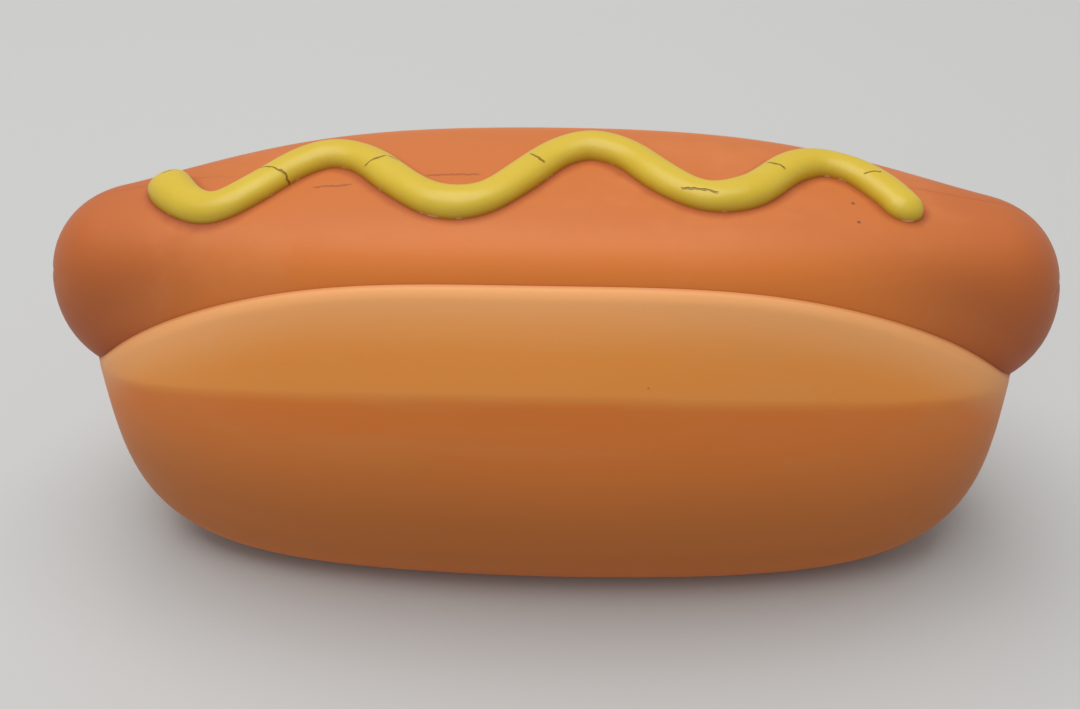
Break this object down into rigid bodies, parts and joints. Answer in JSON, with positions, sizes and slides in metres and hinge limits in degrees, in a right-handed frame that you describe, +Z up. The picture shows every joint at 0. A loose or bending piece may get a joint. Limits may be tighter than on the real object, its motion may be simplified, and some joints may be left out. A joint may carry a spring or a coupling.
{
  "type": "squeaky hot dog toy",
  "caption": "Moulded latex hot-dog dog toy: sausage with a mustard squiggle set in a bun, a flat base and a reed squeaker inside.",
  "frame": {"origin": "middle of the flat underside, on the surface the toy stands on", "axes": "+X along the toy from one sausage tip to the other, +Y across it to the rear, +Z up from the base to the mustard"},
  "size_m": [0.2, 0.0706, 0.0883],
  "materials": {
    "bun_skin": "matte",
    "sausage_skin": "matte",
    "mustard": "matte",
    "wadding": "matte",
    "squeaker_plastic": "satin",
    "reed_plastic": "satin"
  },
  "bodies": {
    "bun": {"bun_front": "bun_skin", "bun_rear": "bun_skin", "bun_base": "bun_skin", "squeaker_cup": "squeaker_plastic", "squeaker_lid": "squeaker_plastic", "reed_block": "squeaker_plastic", "reed_clip": "squeaker_plastic"},
    "sausage": {"sausage_front": "sausage_skin", "sausage_rear": "sausage_skin", "mustard": "mustard", "fibre_fill": "wadding"},
    "reed": {"reed": "reed_plastic"}
  },
  "joints": [
    {"name": "sausage_squeeze", "type": "slide", "parent": "bun", "child": "sausage", "axis": [0, 0, -1], "range_m": [0, 0.005], "stiffness_N_per_m": 1500, "springref_m": -0.0025},
    {"name": "reed_flex", "type": "hinge", "parent": "bun", "child": "reed", "pos_m": [-0.0045, 0, 0.00622], "axis": [0, 1, 0], "range_deg": [-3, 3], "stiffness_Nm_per_rad": 0.0004}
  ]
}
